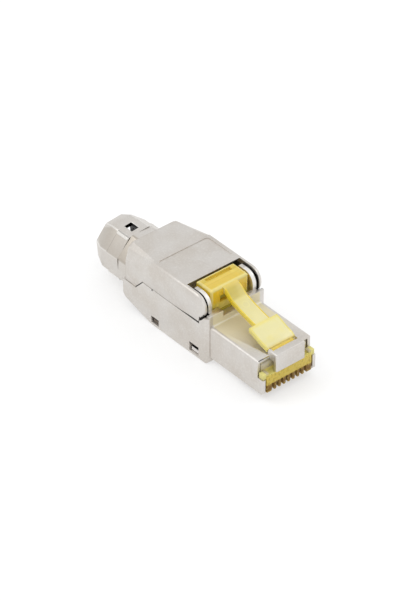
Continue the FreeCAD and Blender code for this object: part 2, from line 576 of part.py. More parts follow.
# Contact carrier in the nose, with eight slots open below and in front
def makeInsert():
    body = newBody("contact_insert")
    rear = size("insertRear")
    faceTop = size("insertFaceTop")
    upperFront = size("noseTopLength") - size("insertSetback")
    upperTop = noseLip - size("insertSetback")
    toothRear = floorCut + 0.1
    block = [
        (rear, insertLow), (toothRear, insertLow), (toothRear, size("toothLow")),
        (noseReach, size("toothLow")), (noseReach, faceTop), (upperFront, faceTop),
        (upperFront, upperTop), (rear, upperTop),
    ]
    prism(body, "InsertBlock", "Pad", "XZ_Plane", block, -insertHalf, insertHalf)
    lugRear = size("noseTopLength") + size("lugSetback")
    lugLow = size("cheekHeight") + size("lugGap")
    lug = box(lugRear, lugLow, lugRear + size("lugLength"), lugLow + size("lugHeight"))
    reach = insertHalf + size("lugReach")
    prism(body, "LeftLug", "Pad", "XZ_Plane", lug, insertHalf - 0.5, reach)
    prism(body, "RightLug", "Pad", "XZ_Plane", lug, -reach, -insertHalf + 0.5)
    bladeRoom = size("bladeThickness") / 2 + size("slotClearance")
    for index in range(8):
        middle = size("contactPitch") * (index - 3.5)
        slot = box(size("bladeRear") - 0.2, 0, bladeFront + 0.05, bladeTop)
        prism(body, "BladeSlot%d" % (index + 1), "Pocket", "XZ_Plane", slot, middle - bladeRoom,
              middle + bladeRoom)
        mouth = box(bladeFront - 0.2, 0, noseReach + 0.3, size("slotTopFront"))
        prism(body, "FrontSlot%d" % (index + 1), "Pocket", "XZ_Plane", mouth, middle - bladeRoom,
              middle + bladeRoom)
        tail = box(rear - 0.2, boardTop - 0.05, size("bladeRear"), bladeTop)
        prism(body, "TailSlot%d" % (index + 1), "Pocket", "XZ_Plane", tail, middle - bladeRoom,
              middle + bladeRoom)
    soften(body, "ToothRounds", size("toothRound"), lambda edge, middle: runsAlong(edge, "x")
           and near(middle.z, size("toothLow")))
    return body


def makeContact(index):
    body = newBody("contact_%d" % (index + 1))
    middle = size("contactPitch") * (index - 3.5)
    half = size("bladeThickness") / 2
    heel = size("bladeRear")
    tail = boardFront - size("bladeTail")
    blade = [
        (tail, boardTop), (heel, boardTop), (heel, bladeLow + 0.6), (heel + 0.6, bladeLow),
        (bladeFront - 0.8, bladeLow), (bladeFront - 0.2, bladeLow + 0.4), (bladeFront, bladeLow + 1.0),
        (bladeFront - 0.3, boardTop), (bladeFront - 1.0, bladeTop), (tail, bladeTop),
    ]
    prism(body, "Blade%d" % (index + 1), "Pad", "XZ_Plane", blade, middle - half, middle + half)
    return body


def makeBoard():
    body = newBody("circuit_board")
    wide = bodyInside - size("boardMargin")
    narrow = noseInside - size("boardClearance")
    rear = box(blockRear - size("boardBehind"), -wide, -size("frontWall") - 0.1, wide)
    front = box(-size("frontWall") - 0.2, -narrow, boardFront, narrow)
    prism(body, "RearBoard", "Pad", "XY_Plane", rear, size("boardLow"), boardTop)
    prism(body, "FrontBoard", "Pad", "XY_Plane", front, size("boardLow"), boardTop)
    return body


# Moulded tray under the board, snapped into the housing's four side windows
def makeCarrier():
    body = newBody("board_carrier")
    prism(body, "Tray", "Pad", "XY_Plane", box(trayRear, -trayHalf, trayFront, trayHalf), floorZ,
          size("boardLow"))
    wall = size("trayWall")
    hollow = box(trayRear + wall, wall - trayHalf, trayFront - wall, trayHalf - wall)
    prism(body, "TrayHollow", "Pocket", "XY_Plane", hollow, floorZ + wall, size("boardLow") + 1)
    reach = bodyHalf - size("snapSetback")
    margin = size("snapMargin")
    for name, window in (("RearSnap", rearWindow), ("NearSnap", nearWindow)):
        snap = box(window[0] + margin, windowLow + 0.1, window[1] - margin,
                   windowLow + 0.1 + size("snapHeight"))
        prism(body, "Left" + name, "Pad", "XZ_Plane", snap, trayHalf - 0.2, reach)
        prism(body, "Right" + name, "Pad", "XZ_Plane", snap, -reach, -trayHalf + 0.2)
    return body


def makeBlock():
    body = newBody("terminal_block")
    block = box(blockRear, boardTop, blockFront, blockTop)
    prism(body, "BlockBody", "Pad", "XZ_Plane", block, -blockHalf, blockHalf)
    half = size("cutterWidth") / 2 + size("slotClearance")
    deep = size("cutterThickness") / 2 + size("slotClearance")
    for row, label in ((rowFront, "Front"), (rowRear, "Rear")):
        for index in range(4):
            middle = wirePitch * (index - 1.5)
            seat = box(row - deep, middle - half, row + deep, middle + half)
            prism(body, label + "Seat%d" % (index + 1), "Pocket", "XY_Plane", seat, boardTop - 0.1,
                  blockTop + 0.1)
    return body


# One slotted insulation-cutting terminal, standing on the board
def makeCutter(index):
    body = newBody("idc_terminal_%d" % (index + 1))
    row = rowFront if index < 4 else rowRear
    middle = wirePitch * (index % 4 - 1.5)
    half = size("cutterWidth") / 2
    gap = size("cutterSlot") / 2
    top = cutterTop
    low = top - size("cutterSlotDepth")
    fork = [
        (middle - half, boardTop), (middle + half, boardTop), (middle + half, top - 0.4),
        (middle + half - 0.25, top), (middle + gap + 0.2, top), (middle + gap, top - 0.5),
        (middle + gap, low), (middle - gap, low), (middle - gap, top - 0.5),
        (middle - gap - 0.2, top), (middle - half + 0.25, top), (middle - half, top - 0.4),
    ]
    thick = size("cutterThickness") / 2
    prism(body, "Fork%d" % (index + 1), "Pad", "YZ_Plane", fork, row - thick, row + thick)
    return body


# Wire cap that presses the eight cores onto the terminals
def makeCap():
    body = newBody("wire_cap")
    prism(body, "CapBody", "Pad", "XZ_Plane", box(blockRear, blockTop, blockFront, capTop),
          -blockHalf, blockHalf)
    soften(body, "CapEdges", size("noseRound"), lambda edge, middle: near(middle.z, capTop)
           and near(abs(middle.y), blockHalf))
    deep = size("cutterThickness") / 2 + size("capClearance")
    half = size("cutterWidth") / 2 + size("capClearance")
    for row, label in ((rowFront, "Front"), (rowRear, "Rear")):
        for index in range(4):
            middle = wirePitch * (index - 1.5)
            room = box(row - deep, middle - half, row + deep, middle + half)
            prism(body, label + "Room%d" % (index + 1), "Pocket", "XY_Plane", room, blockTop - 0.1,
                  cutterTop + size("capClearance"))
    for index in range(4):
        drum(body, "WireBore%d" % (index + 1), "Pocket", "YZ_Plane",
             (wirePitch * (index - 1.5), cutterTop - size("wireDrop")), size("wireRadius"),
             blockRear - 0.1, rowFront + 0.6)
    return body


# Spring-steel saddle that grips the cable's braid behind the terminals
def makeClip():
    body = newBody("shield_clip")
    half = size("clipHalf")
    thick = size("clipThickness")
    inner = half - thick
    top = shelfZ + size("clipHeight")
    saddle = [
        (-half, shelfZ), (half, shelfZ), (half, top), (inner, top), (inner, shelfZ + thick),
        (-inner, shelfZ + thick), (-inner, top), (-half, top),
    ]
    clipRear = rearFace + size("rearWall") + size("clipGap")
    prism(body, "Saddle", "Pad", "YZ_Plane", saddle, clipRear, clipRear + size("clipLength"))
    return body


# Octagonal strain-relief sleeve on the spigot, with a little turn about the cable's axis
def makeSleeve():
    body = newBody("rear_sleeve")
    wide = size("sleeveFlats")
    narrow = size("sleeveFlats") - size("sleeveStepDepth") * 2
    prism(body, "SleeveBarrel", "Pad", "YZ_Plane", octagon(wide), sleeveStep, sleeveFront)
    prism(body, "SleeveCollar", "Pad", "YZ_Plane", octagon(narrow), sleeveRing, sleeveStep)
    loft(body, "SleeveTaper", "AdditiveLoft", [(sleeveRing, octagon(narrow)),
                                               (sleeveEnd, octagon(size("sleeveEndFlats")))])
    drum(body, "SleeveRoom", "Pocket", "YZ_Plane", cableAxis, spigotRadius + size("slipClearance"),
         sleeveEnd + size("sleeveEndWall"), sleeveFront + 0.1)
    drum(body, "SleeveBore", "Pocket", "YZ_Plane", cableAxis, sleeveBore, sleeveEnd - 0.1, sleeveFront)
    half = size("sleeveWindowWidth") / 2
    windowFront = sleeveFront - size("sleeveWindowGap")
    window = box(windowFront - size("sleeveWindowLength"), -half, windowFront, half)
    prism(body, "SleeveWindow", "Pocket", "XY_Plane", window, size("cableZ") + spigotRadius / 2,
          size("cableZ") + size("sleeveFlats"))
    turn = "Sizes.sleeveTurn * 1deg"
    body.setExpression("Placement.Base.y", "Sizes.cableZ * sin(" + turn + ")")
    body.setExpression("Placement.Base.z", "Sizes.bodyDrop + Sizes.cableZ * (1 - cos(" + turn + "))")
    body.setExpression("Placement.Rotation.Axis.x", "1")
    body.setExpression("Placement.Rotation.Axis.z", "0")
    body.setExpression("Placement.Rotation.Angle", turn)
    return body


pieces = [makeHousing(), makeCover(), makeLatch(), makeInsert(), makeBoard(), makeCarrier(), makeBlock(),
          makeCap(), makeClip(), makeSleeve()]
pieces += [makeContact(index) for index in range(8)]
pieces += [makeCutter(index) for index in range(8)]
doc.recompute()

for item in doc.Objects:
    if "Invalid" in item.State or "Error" in item.State:
        raise RuntimeError(item.Name + " failed")
for piece in pieces:
    if piece.Shape.isNull() or not piece.Shape.isValid() or len(piece.Shape.Solids) != 1:
        raise RuntimeError(piece.Label + " is not one sound solid")

os.makedirs("parts", exist_ok=True)
for piece in pieces:
    piece.Shape.exportStep("parts/" + piece.Label + ".step")
    print(piece.Label, round(piece.Shape.Volume, 2))
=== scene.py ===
import math

import bmesh
import bpy
from mathutils import Matrix, Vector


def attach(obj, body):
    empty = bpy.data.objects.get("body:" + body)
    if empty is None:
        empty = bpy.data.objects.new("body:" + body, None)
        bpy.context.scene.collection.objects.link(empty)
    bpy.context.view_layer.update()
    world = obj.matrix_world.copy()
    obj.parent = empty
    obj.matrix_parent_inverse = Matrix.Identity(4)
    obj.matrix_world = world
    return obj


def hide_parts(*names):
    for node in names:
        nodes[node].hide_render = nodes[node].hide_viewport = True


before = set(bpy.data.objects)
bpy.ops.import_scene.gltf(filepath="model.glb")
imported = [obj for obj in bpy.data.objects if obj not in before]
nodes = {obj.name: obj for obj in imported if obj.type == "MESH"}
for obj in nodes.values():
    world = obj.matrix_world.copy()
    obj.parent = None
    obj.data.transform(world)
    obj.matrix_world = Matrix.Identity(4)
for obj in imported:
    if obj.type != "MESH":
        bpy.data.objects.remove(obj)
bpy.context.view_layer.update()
print("frame loaded:", len(nodes), "nodes")

perMetre = 1000  # Places and widths below are in millimetres, along the plug, across it and up
hair = 0.03  # A painted bound fades over this much on either side
unlit = (0.0, 0.0, 0.0)  # The emission of what does not glow


# A socket that takes part in sums, so that a pattern reads as an expression
class Wire:
    def __init__(self, paint, socket):
        self.paint = paint
        self.socket = socket

    def __add__(self, other):
        return self.paint.math("ADD", self, other)

    def __radd__(self, other):
        return self.paint.math("ADD", other, self)

    def __sub__(self, other):
        return self.paint.math("SUBTRACT", self, other)

    def __rsub__(self, other):
        return self.paint.math("SUBTRACT", other, self)

    def __mul__(self, other):
        return self.paint.math("MULTIPLY", self, other)

    def __truediv__(self, other):
        return self.paint.math("DIVIDE", self, other)

    def __or__(self, other):
        return self.paint.math("MAXIMUM", self, other)

    def __abs__(self):
        return self.paint.math("ABSOLUTE", self)

    # 1 above or below a bound
    def above(self, bound):
        return self.paint.step(self, bound - hair, bound + hair)

    def below(self, bound):
        return 1 - self.above(bound)

    def between(self, low, high):
        return self.above(low) * self.below(high)

    # A noise's swing about its middle
    def swing(self, amount):
        return (self - 0.5) * amount


# One material under construction
class Paint:
    def __init__(self, name):
        self.material = bpy.data.materials.new(name)
        self.material.use_nodes = True
        self.tree = self.material.node_tree
        self.tree.nodes.clear()
        self.output = self.tree.nodes.new("ShaderNodeOutputMaterial")

    def node(self, kind, inputs=None, settings=None, out=0):
        made = self.tree.nodes.new(kind)
        for name, value in (settings or {}).items():
            setattr(made, name, value)
        for name, value in (inputs or {}).items():
            if isinstance(value, Wire):
                self.tree.links.new(value.socket, made.inputs[name])
            else:
                made.inputs[name].default_value = value
        return Wire(self, made.outputs[out])

    def math(self, operation, *values):
        return self.node("ShaderNodeMath", dict(enumerate(values)), {"operation": operation})

    def place(self):
        return self.node("ShaderNodeTexCoord", out="Object")

    # The place along one axis in millimetres
    def along(self, axis):
        return self.node("ShaderNodeSeparateXYZ", {0: self.place()}, out=axis) * perMetre

    # The places along the plug, out from its middle to either side, and up
    def places(self):
        return self.along(0), abs(self.along(1)), self.along(2)

    # The distance from a line along one axis, given the two places across it
    def radius(self, first, second):
        return self.math("SQRT", first * first + second * second)

    # 1 on the faces marked for a painted highlight
    def highlit(self):
        return self.node("ShaderNodeAttribute", None, {"attribute_name": "highlit"}, out="Fac")

    def noise(self, scale, detail, roughness):
        return self.node("ShaderNodeTexNoise", {
            "Vector": self.place(), "Scale": scale, "Detail": detail, "Roughness": roughness})

    # 0 below the first bound, 1 above the second, with a smooth way between
    def step(self, value, low, high):
        return self.node("ShaderNodeMapRange", {"Value": value, "From Min": low, "From Max": high},
                         {"interpolation_type": "SMOOTHSTEP"})

    # Inputs 6 and 7 are the mix node's colours, and output 2 is the mixed one
    def mix(self, factor, first, second):
        first, second = (tint if isinstance(tint, Wire) else (*tint, 1) for tint in (first, second))
        return self.node("ShaderNodeMix", {0: factor, 6: first, 7: second}, {"data_type": "RGBA"}, out=2)

    def ramp(self, place, stops):
        wire = self.node("ShaderNodeValToRGB", {"Fac": place})
        elements = wire.socket.node.color_ramp.elements
        while len(elements) < len(stops):
            elements.new(1.0)
        for element, (position, tint) in zip(elements, stops):
            element.position = position
            element.color = (*tint, 1)
        return wire

    def bump(self, height, strength, distance):
        return self.node("ShaderNodeBump", {"Height": height, "Strength": strength, "Distance": distance})

    def finish(self, shader, volume=None):
        self.tree.links.new(shader.socket, self.output.inputs["Surface"])
        if volume:
            self.tree.links.new(volume.socket, self.output.inputs["Volume"])
        return self.material

    def principled(self, inputs, volume=None):
        return self.finish(self.node("ShaderNodeBsdfPrincipled", inputs), volume)


# A linear colour from the display's 0 to 255
def colour(red, green, blue):
    channel = [value / 255 for value in (red, green, blue)]
    return tuple(c / 12.92 if c <= 0.04045 else ((c + 0.055) / 1.055) ** 2.4 for c in channel)


# Millimetres, apart from the angles in degrees: flat, sharp and the two turns
edges = {
    "merge": 0.002, "flat": 0.6, "tip": 0.05, "near": 0.08, "shortest": 0.001, "profile": 0.5,
    "fineSteps": 2, "roundSteps": 3, "sharp": 28, "broad": 0.6, "broadTurn": 7, "turn": 34,
}


def isNear(value, place):
    return abs(value - place) < edges["near"]


def cornersAt(shape, test):
    return [vertex for vertex in shape.verts if test(*(vertex.co * perMetre))]


# The sharp edges whose middle passes a test of its place
def edgesAt(shape, test):
    chosen = []
    for edge in shape.edges:
        if len(edge.link_faces) == 2 and edge.calc_face_angle(0) >= math.radians(edges["sharp"]):
            middle = (edge.verts[0].co + edge.verts[1].co) / 2 * perMetre
            if test(*middle):
                chosen.append(edge)
    return chosen


# Rounds edges or corners and gives the faces that this makes
def rounded(shape, chosen, width, steps, affect="EDGES"):
    made = bmesh.ops.bevel(shape, geom=chosen, offset=width / perMetre, offset_type="OFFSET", affect=affect,
                           segments=steps, profile=edges["profile"], material=-1, clamp_overlap=True)
    return made["faces"]


# Marks faces for a painted highlight
def markHighlit(faces, layer):
    for face in faces:
        face[layer] = 1.0


# Smooth shading with creases, which take a smaller turn between two broad faces than in a round
def shadeSmooth(shape, breadth):
    for face in shape.faces:
        face.smooth = True
    for edge in shape.edges:
        broad = all(breadth[face] > edges["broad"] for face in edge.link_faces)
        turn = edges["broadTurn"] if broad else edges["turn"]
        edge.smooth = len(edge.link_faces) == 2 and math.degrees(edge.calc_face_angle(0)) < turn


def addPiece(shape, name, body, paint):
    mesh = bpy.data.meshes.new(name)
    shape.to_mesh(mesh)
    shape.free()
    piece = bpy.data.objects.new(name, mesh)
    bpy.context.scene.collection.objects.link(piece)
    mesh.materials.append(paint)
    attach(piece, body)
    return piece


# A merged copy of a CAD node with its sharp edges broken, which is shown in the node's place.
# Each round is a test of a place and a width, 0 where the edge stays crisp. A corner is one too.
# Faces under the narrow breadth are marked for a painted highlight, as the faces of the broken edges are.
def softened(node, name, body, paint, width, rounds=(), corner=None, narrow=0):
    def isPlain(x, y, z):
        return not any(test(x, y, z) for test, amount in rounds)

    shape = bmesh.new()
    shape.from_mesh(nodes[node].data)
    bmesh.ops.remove_doubles(shape, verts=shape.verts, dist=edges["merge"] / perMetre)
    bmesh.ops.dissolve_limit(shape, angle_limit=math.radians(edges["flat"]), verts=shape.verts,
                             edges=shape.edges, use_dissolve_boundaries=False)
    highlit = shape.faces.layers.float.new("highlit")
    if corner:
        test, amount = corner
        bmesh.ops.remove_doubles(shape, verts=cornersAt(shape, test), dist=edges["tip"] / perMetre)
        rounded(shape, cornersAt(shape, test), amount, edges["roundSteps"], "VERTICES")
    for test, amount in rounds:
        if amount:
            markHighlit(rounded(shape, edgesAt(shape, test), amount, edges["roundSteps"]), highlit)
    markHighlit(rounded(shape, edgesAt(shape, isPlain), width, edges["fineSteps"]), highlit)
    bmesh.ops.recalc_face_normals(shape, faces=shape.faces)
    breadth = {}
    for face in shape.faces:
        outline = max(face.calc_perimeter(), edges["shortest"] / perMetre)
        breadth[face] = face.calc_area() / outline * 2 * perMetre
    markHighlit([face for face in shape.faces if breadth[face] < narrow], highlit)
    shadeSmooth(shape, breadth)
    piece = addPiece(shape, name, body, paint)
    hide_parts(node)
    return piece


def dress(node, paint):
    mesh = nodes[node].data
    mesh.materials.clear()
    mesh.materials.append(paint)


# What the die castings share
plug = {
    "cableUp": 5.7, "boreRadius": 3.27, "wellRear": -12.0, "coverBend": -5.2, "rearHalf": 5.5,
    "sleeveTurn": math.radians(5.5), "flatUp": 5.3, "flatHalf": 2.195, "steps": (-15.98, -19.0, -20.9),
}
casting = {
    "tint": colour(211, 206, 200), "cool": colour(217, 214, 210), "warm": colour(203, 196, 187),
    # The pale colour serves the cast grain's flecks and the painted highlights; dim is for painted shade
    "fleckAndHighlight": colour(238, 236, 232), "dim": colour(176, 167, 154), "shade": colour(24, 22, 20),
    # A painted yellow glow from the clear lever, in the hollows below it
    "leverGlow": colour(96, 84, 24), "slot": "nickelled_casting", "edge": 0.1,
    "grain": (3000, 3.0, 0.6), "cloud": (160, 3.0, 0.55), "cloudy": 0.5, "cloudLow": 0.35, "cloudHigh": 0.68,
    "fleck": 0.3, "fleckLow": 0.42, "fleckHigh": 0.75, "edgeHighlight": 0.6, "roughness": 0.44, "cloudRough": 0.12,
    "grainRough": 0.14, "highlitSmooth": 0.1, "bump": 0.35, "depth": 0.00001,
}
parting = {
    "rear": -9.7, "low": 5.73, "run": 1.9, "rise": 2.05, "stepHalf": 0.09, "dotUp": 7.6, "dotRadius": 0.16,
}
shadedSide = {"outer": -2.5, "inner": -2.1, "low": 1.9, "high": 2.4}


# Nickel-plated die casting: satin, with a fine cast grain and faint clouds. Its hollows are painted dark as
# shade.
# tintOf gives its colour, the hollows' painted shade, how metallic it is and how far the hollows glow with
# painted light.
def makeCasting(name, shadeOf, tintOf):
    paint = Paint(name)
    grain = paint.noise(*casting["grain"])
    cloud = paint.noise(*casting["cloud"])
    tone = paint.mix(paint.step(cloud, casting["cloudLow"], casting["cloudHigh"]), casting["cool"],
                     casting["warm"])
    tint = paint.mix(casting["cloudy"], casting["tint"], tone)
    fleck = paint.step(grain, casting["fleckLow"], casting["fleckHigh"])
    tint = paint.mix(fleck * casting["fleck"], tint, casting["fleckAndHighlight"])
    # Painted highlight on the broken edges, which are also a little smoother
    highlit = paint.highlit()
    tint = paint.mix(highlit * casting["edgeHighlight"], tint, casting["fleckAndHighlight"])
    tint, shade, metal, glow = tintOf(paint, tint)
    hollow = shadeOf(paint)
    roughness = casting["roughness"] + cloud.swing(casting["cloudRough"]) + grain.swing(casting["grainRough"])
    return paint.principled({
        "Base Color": paint.mix(hollow, tint, shade), "Metallic": metal,
        "Roughness": roughness - highlit * casting["highlitSmooth"],
        # Painted light: the hollows below the lever glow faintly yellow
        "Emission Color": paint.mix(hollow * glow, unlit, casting["leverGlow"]), "Emission Strength": 1.0,
        "Normal": paint.bump(grain, casting["bump"], casting["depth"])})


# Painted shade along the parting between cover and housing, on its slanted step and in a dot at the cover's
# bend
def partingShade(paint, along, across, up):
    run, rise = parting["run"], parting["rise"]
    length = math.hypot(run, rise)
    beside = (along - parting["rear"]) * (rise / length) - (up - parting["low"]) * (run / length)
    step = abs(beside).below(parting["stepHalf"]) * along.between(parting["rear"], parting["rear"] + run)
    dot = paint.radius(along - plug["coverBend"], up - parting["dotUp"]).below(parting["dotRadius"])
    return (step | dot) * across.above(plug["rearHalf"])


# The places across and above the cable's middle in the sleeve's own turn about it
def turnedPlaces(paint):
    across, up = paint.along(1), paint.along(2) - plug["cableUp"]
    sine, cosine = math.sin(plug["sleeveTurn"]), math.cos(plug["sleeveTurn"])
    return across * cosine + up * sine, up * cosine - across * sine


# The slanted upper near side of the sleeve and of the flange, painted in shade; reach moves its inner edge
# to the middle
def sideShadeShare(paint, reach=0.0):
    turned, rise = turnedPlaces(paint)
    outside = 1 - paint.step(turned, shadedSide["outer"] + reach, shadedSide["inner"] + reach)
    return outside * paint.step(rise, shadedSide["low"], shadedSide["high"])


def onSteps(x, y, z):
    return any(isNear(x, place) for place in plug["steps"])


housing = {
    "wellFront": 8.15, "wellHalf": 5.43, "wellFloor": 0.62, "wellRim": 7.7,
    "hingeAlong": 5.95, "hingeUp": 10.85, "lobeRadius": 2.74, "lobeInside": 5.3,
    "earRadius": 2.2, "earInside": 4.5, "earOutside": 5.45, "leverRear": 3.0,
    "leverTint": colour(120, 106, 40), "topLow": 7.5, "topHigh": 7.8, "lipRear": 21.19, "lipFront": 21.32,
    "strapHalf": 3.25, "noseHalf": 5.6, "litTint": colour(226, 216, 182), "litHalf": 5.2, "litRear": 9.05,
    "fadeRear": 11.5, "fadeFront": 19.5, "lit": 0.85, "litDull": 0.75,
    "creaseRear": 9.2, "creaseFront": 9.42, "crease": 0.8,
    "flangeFront": -13.0, "flangeReach": 1.0, "flange": 0.7,
    "footAlong": -13.05, "footTop": 3.4, "footRound": 0.35,
}


# Painted shade in the inside under the cover, the bore, the hollow round the cover's lobe, along the edge of
# the nose's plate and along the parting
def housingShade(paint):
    along, across, up = paint.places()
    well = along.between(plug["wellRear"], housing["wellFront"]) * across.below(housing["wellHalf"])
    well = well * up.between(housing["wellFloor"], housing["wellRim"])
    bore = paint.radius(across, up - plug["cableUp"]).below(plug["boreRadius"])
    bore = bore * along.below(plug["wellRear"])
    lobe = paint.radius(along - housing["hingeAlong"], up - housing["hingeUp"]).below(housing["lobeRadius"])
    lobe = lobe * across.above(housing["lobeInside"])
    lip = along.between(housing["lipRear"], housing["lipFront"]) * up.above(housing["topLow"])
    lip = lip * paint.along(1).between(-housing["noseHalf"], -housing["strapHalf"])
    return well | bore | lobe | lip | partingShade(paint, along, across, up)


# Painted light: yellow light through the lever on the nose and the step, painted highlights on the ears and
# the step's crease, and painted shade on the flange's upper near side
def housingTint(paint, tint):
    along, across, up = paint.places()
    fade = 1 - paint.step(along, housing["fadeRear"], housing["fadeFront"])
    lit = up.above(housing["topLow"]) * across.below(housing["litHalf"]) * along.above(housing["litRear"])
    lit = lit * fade
    tint = paint.mix(lit * housing["lit"], tint, housing["litTint"])
    ear = paint.radius(along - housing["hingeAlong"], up - housing["hingeUp"]).below(housing["earRadius"])
    ear = ear * across.between(housing["earInside"], housing["earOutside"])
    tint = paint.mix(ear, tint, casting["fleckAndHighlight"])
    crease = along.between(housing["creaseRear"], housing["creaseFront"]) * across.below(housing["litHalf"])
    crease = crease * up.between(housing["topLow"], housing["topHigh"])
    tint = paint.mix(crease * housing["crease"], tint, casting["fleckAndHighlight"])
    flange = sideShadeShare(paint, housing["flangeReach"]) * along.below(housing["flangeFront"])
    tint = paint.mix(flange * housing["flange"], tint, casting["dim"])
    # Painted light below the lever: its hollows are shaded olive and glow faintly
    lever = along.above(housing["leverRear"]) * across.below(housing["earInside"])
    shade = paint.mix(lever, casting["shade"], housing["leverTint"])
    return tint, shade, 1 - lit * housing["litDull"], lever


def onFoot(x, y, z):
    return isNear(x, housing["footAlong"]) and z < housing["footTop"]


housingPaint = makeCasting("nickelledHousing", housingShade, housingTint)
softened("lower_housing", "housingShell", "housing", housingPaint, casting["edge"],
         [(onSteps, 0), (onFoot, housing["footRound"])])

cover = {
    "half": 5.84, "under": 12.36, "front": 8.0, "rearUnder": 11.85, "lidShade": 0.6,
    "seamUp": 7.84, "seamRear": 1.0, "seamFront": 6.2, "seamRise": 0.24,
    "bevelFront": -12.56, "bevel": 0.6, "roundFront": -12.5, "roundUp": 8.2, "round": 0.26,
    "cornerAlong": -12.6, "cornerUp": 12.5, "corner": 0.6,
    "panelRear": -5.1, "panelFront": 1.7, "panelHalf": 5.6, "panelUp": 13.12,
}


# Painted shade in the cover's inside, and a painted dark line along the seam at its lower rim, which widens
# a little towards the hinge
def coverShade(paint):
    along, across, up = paint.places()
    front = across.below(cover["half"]) * up.below(cover["under"])
    front = front * along.between(plug["coverBend"], cover["front"])
    rear = across.below(plug["rearHalf"]) * up.below(cover["rearUnder"])
    rear = rear * along.between(plug["wellRear"], plug["coverBend"])
    climb = paint.step(along, cover["seamRear"], cover["seamFront"]) * cover["seamRise"]
    seam = (up - climb).below(cover["seamUp"]) * along.above(cover["seamRear"])
    return (front | rear) * cover["lidShade"] | seam | partingShade(paint, along, across, up)


# The bevel round the cover's rear end gets a painted shade, darker than its sides
def coverTint(paint, tint):
    bevel = paint.along(0).below(cover["bevelFront"])
    return paint.mix(bevel * cover["bevel"], tint, casting["dim"]), casting["shade"], 1.0, 0.0


def onPanel(x, y, z):
    inside = cover["panelRear"] < x < cover["panelFront"] and abs(y) < cover["panelHalf"]
    return inside and z > cover["panelUp"]


def onCoverRear(x, y, z):
    return x < cover["roundFront"] and z > cover["roundUp"]


def atCoverCorner(x, y, z):
    return isNear(x, cover["cornerAlong"]) and z > cover["cornerUp"]


coverPaint = makeCasting("nickelledCover", coverShade, coverTint)
softened("top_cover", "coverShell", "cover", coverPaint, casting["edge"],
         [(onPanel, 0), (onCoverRear, cover["round"])], (atCoverCorner, cover["corner"]))

sleeve = {
    "roomRadius": 4.44, "roomRear": -21.85, "windowRear": -19.2, "windowFront": -17.05, "windowHalf": 0.76,
    "windowLow": 2.0, "windowTop": 5.26, "sideShade": 0.45, "ringRear": -19.05, "ringFront": -18.92, "ring": 0.3,
    "lineRear": -19.0, "lineFront": -16.0, "lineOuter": -2.095, "darkDown": 0.16, "brightDown": 0.58,
    "dark": 0.5, "bright": 0.7, "ridgeRadius": 4.9, "ridgeRound": 0.25, "end": -22.95, "endRadius": 3.6,
    "endRound": 0.4, "barRear": -18.98, "barFront": -16.05, "barDown": 0.46, "barWidth": 0.34, "barDeep": 0.2,
    "barRound": 0.04,
}


# Painted shade in the sleeve's room, its bore and the walls of the window in its turned top flat
def sleeveShade(paint):
    along, across, up = paint.places()
    turned, rise = turnedPlaces(paint)
    radius = paint.radius(across, up - plug["cableUp"])
    room = radius.below(sleeve["roomRadius"]) * along.above(sleeve["roomRear"])
    window = abs(turned).below(sleeve["windowHalf"]) * rise.between(sleeve["windowLow"], sleeve["windowTop"])
    window = window * along.between(sleeve["windowRear"], sleeve["windowFront"])
    return room | radius.below(plug["boreRadius"]) | window


# The upper near side gets a painted shade, with a painted dark ring at the collar;
# a painted shadow line and a painted highlight line follow the bar
def sleeveTint(paint, tint):
    along = paint.along(0)
    turned, rise = turnedPlaces(paint)
    sideShade = sideShadeShare(paint)
    tint = paint.mix(sideShade * sleeve["sideShade"], tint, casting["dim"])
    ring = sideShade * along.between(sleeve["ringRear"], sleeve["ringFront"])
    tint = paint.mix(ring * sleeve["ring"], tint, casting["shade"])
    down = (plug["flatUp"] - rise) * math.sqrt(2)
    line = along.between(sleeve["lineRear"], sleeve["lineFront"]) * turned.below(sleeve["lineOuter"])
    bright = line * down.between(sleeve["darkDown"], sleeve["brightDown"])
    tint = paint.mix(bright * sleeve["bright"], tint, casting["fleckAndHighlight"])
    dark = line * down.below(sleeve["darkDown"])
    return paint.mix(dark * sleeve["dark"], tint, casting["shade"]), casting["shade"], 1.0, 0.0


def fromCable(y, z):
    return math.hypot(y, z - plug["cableUp"])


def onRidge(x, y, z):
    return fromCable(y, z) > sleeve["ridgeRadius"] and x > sleeve["end"] and not onSteps(x, y, z)


def onEnd(x, y, z):
    return fromCable(y, z) > sleeve["endRadius"] and x < sleeve["end"]


# A low bar along the sleeve's near ridge, on the slanted flat below the window's
def makeRidgeBar(paint):
    sine, cosine = math.sin(plug["sleeveTurn"]), math.cos(plug["sleeveTurn"])
    over, rise = Vector((0, cosine, sine)), Vector((0, -sine, cosine))
    down, out = (-over - rise).normalized(), (rise - over).normalized()
    ridge = rise * plug["flatUp"] - over * plug["flatHalf"] + Vector((0, 0, plug["cableUp"]))
    length = sleeve["barFront"] - sleeve["barRear"]
    middle = ridge + down * sleeve["barDown"]
    middle.x = sleeve["barRear"] + length / 2
    turn = Matrix((Vector((length, 0, 0)), down * sleeve["barWidth"], out * sleeve["barDeep"])).transposed()
    shape = bmesh.new()
    bmesh.ops.create_cube(shape, size=1, matrix=Matrix.Translation(middle) @ turn.to_4x4())
    bmesh.ops.scale(shape, vec=[1 / perMetre] * 3, verts=shape.verts)
    highlit = shape.faces.layers.float.new("highlit")
    rounded(shape, shape.edges[:], sleeve["barRound"], edges["fineSteps"])
    bmesh.ops.recalc_face_normals(shape, faces=shape.faces)
    # The whole bar gets the painted highlight
    markHighlit(shape.faces, highlit)
    return addPiece(shape, "ridgeBar", "sleeve", paint)


sleevePaint = makeCasting("nickelledSleeve", sleeveShade, sleeveTint)
softened("rear_sleeve", "cableSleeve", "sleeve", sleevePaint, casting["edge"],
         [(onSteps, 0), (onRidge, sleeve["ridgeRound"]), (onEnd, sleeve["endRound"])])
makeRidgeBar(sleevePaint)
print("castings")

